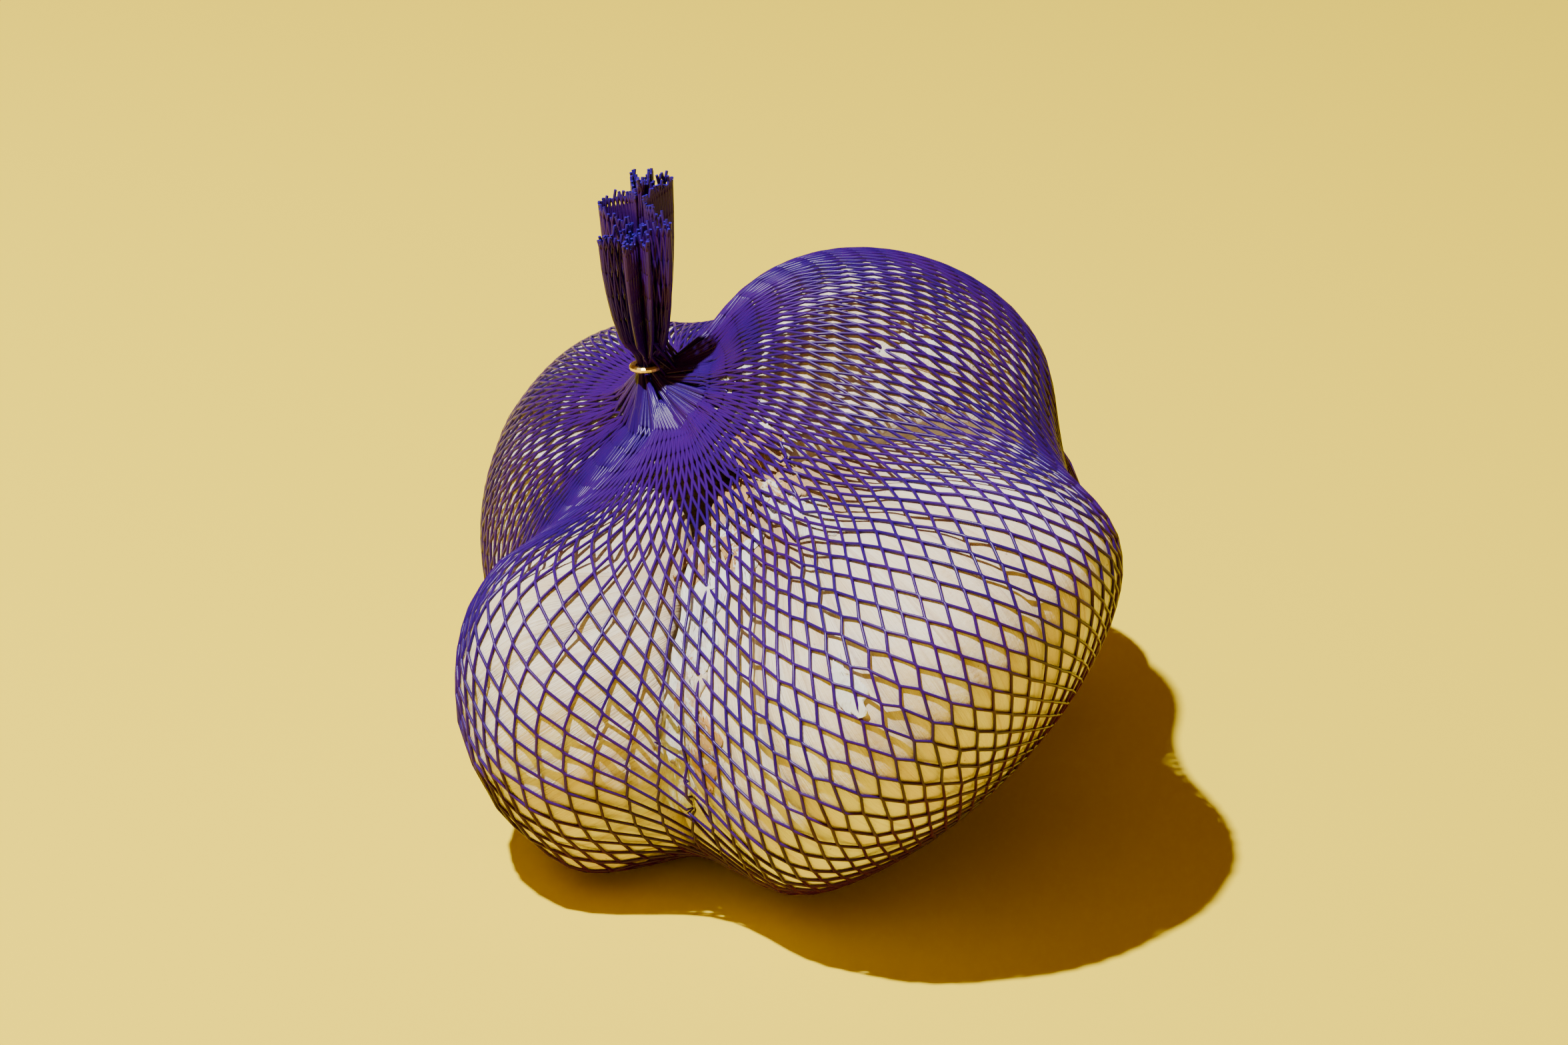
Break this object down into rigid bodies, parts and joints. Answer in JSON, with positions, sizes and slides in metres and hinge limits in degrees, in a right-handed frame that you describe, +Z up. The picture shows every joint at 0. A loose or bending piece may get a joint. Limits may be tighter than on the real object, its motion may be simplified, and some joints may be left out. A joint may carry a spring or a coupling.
{
  "type": "net pack of garlic bulbs",
  "caption": "Garlic bulbs pulled tight in a violet tube of extruded plastic net, gathered by a wire clip at each end, with a tuft of cut strands above the upper clip.",
  "frame": {"origin": "on the surface the pack rests on, under the middle of the pack's box", "axes": "+X to the right, +Y to the back, +Z up; the upper clip and its tuft are up, towards -X"},
  "size_m": [0.1078, 0.1446, 0.1011],
  "materials": {
    "garlic_skin": "dry papery skin, satin to matte, with fine veins",
    "violet_net": "glossy extruded strands",
    "clip_wire": "bright golden wire"
  },
  "bodies": {
    "root": {"bulb_front_left": "garlic_skin", "bulb_front_right": "garlic_skin", "bulb_back_left": "garlic_skin", "bulb_back_right": "garlic_skin", "bulb_top": "garlic_skin", "net": "violet_net", "clip_top": "clip_wire", "clip_bottom": "clip_wire"}
  },
  "joints": []
}
